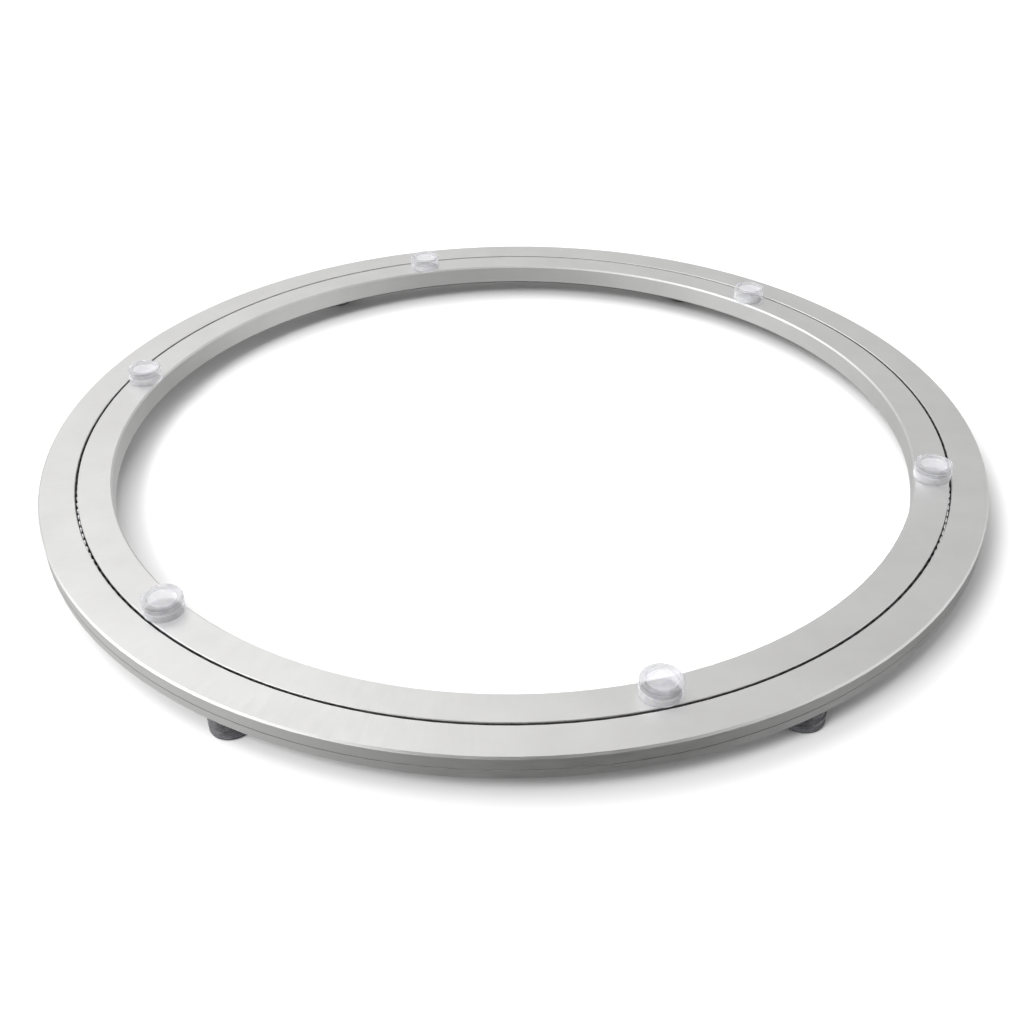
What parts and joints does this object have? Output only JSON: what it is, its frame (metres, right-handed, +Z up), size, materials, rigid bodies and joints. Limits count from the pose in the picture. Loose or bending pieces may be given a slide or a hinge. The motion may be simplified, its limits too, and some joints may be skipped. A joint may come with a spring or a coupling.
{
  "type": "ring turntable",
  "caption": "Flat hollow turntable ring: an aluminium inner ring turns in an outer ring on a full circle of steel balls, with clear soft grip pads and feet.",
  "frame": {"origin": "centre of the ring, on the surface that the feet stand on", "axes": "+Z up, along the turning axis; +X through the first foot, with the ball-loading hole facing +Y"},
  "size_m": [0.35, 0.35, 0.0209],
  "materials": {
    "ring_aluminium": "satin, fine blasted and clear anodised",
    "ball_steel": "polished",
    "screw_steel": "plain",
    "clear_soft_vinyl": "clear, glossy, soft"
  },
  "bodies": {
    "base": {"outer_ring": "ring_aluminium", "fill_screw": "screw_steel", "foot_1": "clear_soft_vinyl", "foot_2": "clear_soft_vinyl", "foot_3": "clear_soft_vinyl", "foot_4": "clear_soft_vinyl", "foot_5": "clear_soft_vinyl", "foot_6": "clear_soft_vinyl"},
    "turning_ring": {"inner_ring": "ring_aluminium", "top_pad_1": "clear_soft_vinyl", "top_pad_2": "clear_soft_vinyl", "top_pad_3": "clear_soft_vinyl", "top_pad_4": "clear_soft_vinyl", "top_pad_5": "clear_soft_vinyl", "top_pad_6": "clear_soft_vinyl"},
    "ball_set": {"bearing_balls": "ball_steel"}
  },
  "joints": [
    {"name": "ring_spin", "type": "hinge", "parent": "base", "child": "turning_ring", "pos_m": [0, 0, 0.01105], "axis": [0, 0, 1], "continuous": true},
    {"name": "ball_orbit", "type": "hinge", "parent": "base", "child": "ball_set", "pos_m": [0, 0, 0.01105], "axis": [0, 0, 1], "continuous": true}
  ],
  "couplings": [
    {"joint": "ball_orbit", "follows": "ring_spin", "ratio": 0.4938}
  ]
}
